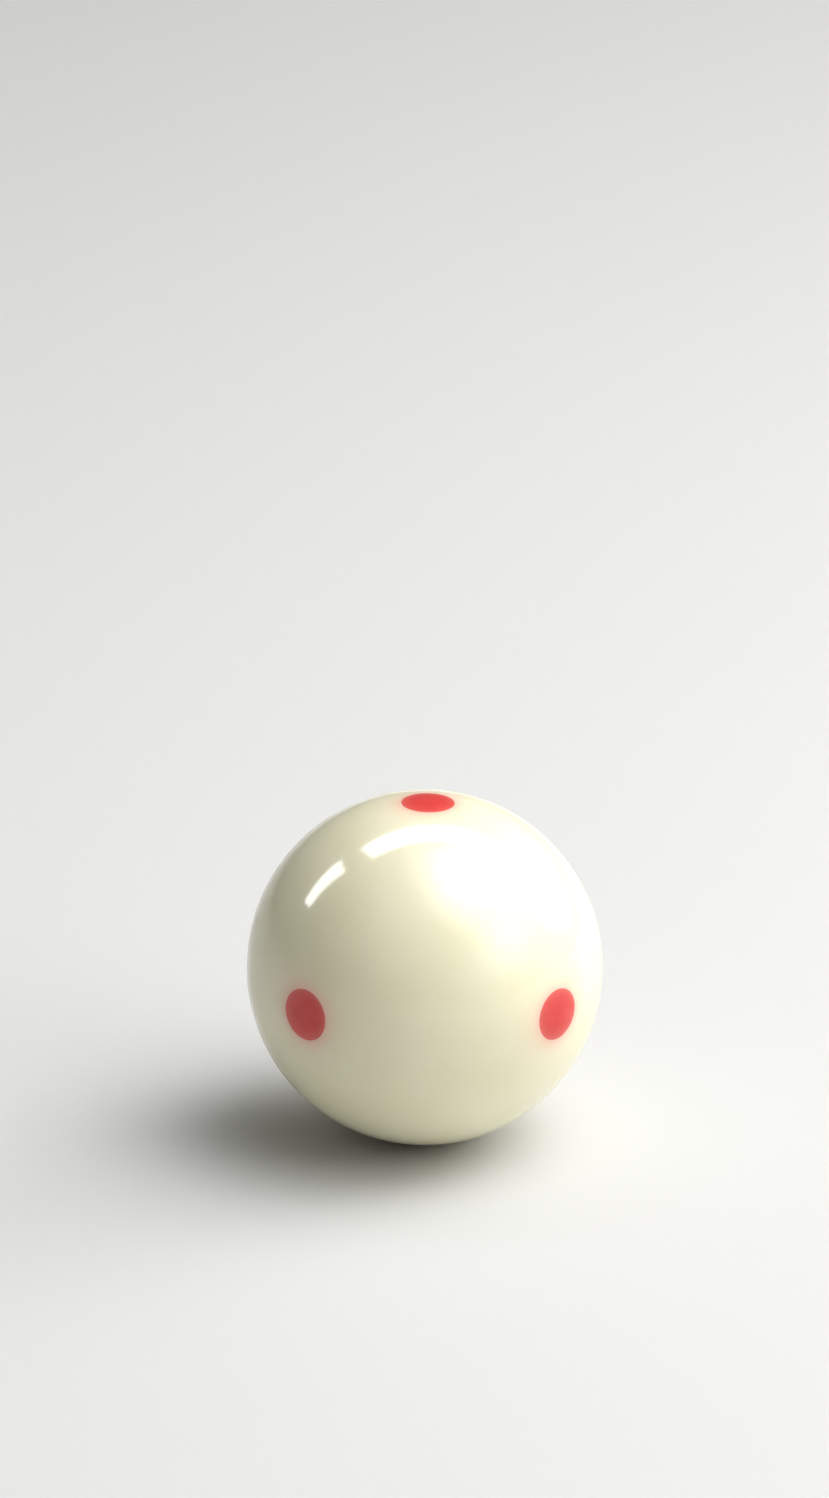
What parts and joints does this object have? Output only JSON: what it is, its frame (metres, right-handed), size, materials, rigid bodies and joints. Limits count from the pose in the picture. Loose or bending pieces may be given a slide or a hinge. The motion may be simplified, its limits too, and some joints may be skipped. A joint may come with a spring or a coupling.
{
  "type": "cue ball",
  "caption": "Cream resin cue ball for pool, a solid polished sphere with round red spots cast flush into its surface, so that its spin can be seen.",
  "frame": {"origin": "centre of the ball", "axes": "+X, +Y and +Z each run out through the middle of one red spot, +Z being the one stored uppermost; the ball rests on a table at -Z"},
  "size_m": [0.0572, 0.0572, 0.0572],
  "materials": {
    "cream_resin": "polished",
    "red_resin": "polished"
  },
  "bodies": {
    "root": {"ball_body": "cream_resin", "spot_top": "red_resin", "spot_bottom": "red_resin", "spot_front": "red_resin", "spot_rear": "red_resin", "spot_left": "red_resin", "spot_right": "red_resin"}
  },
  "joints": []
}
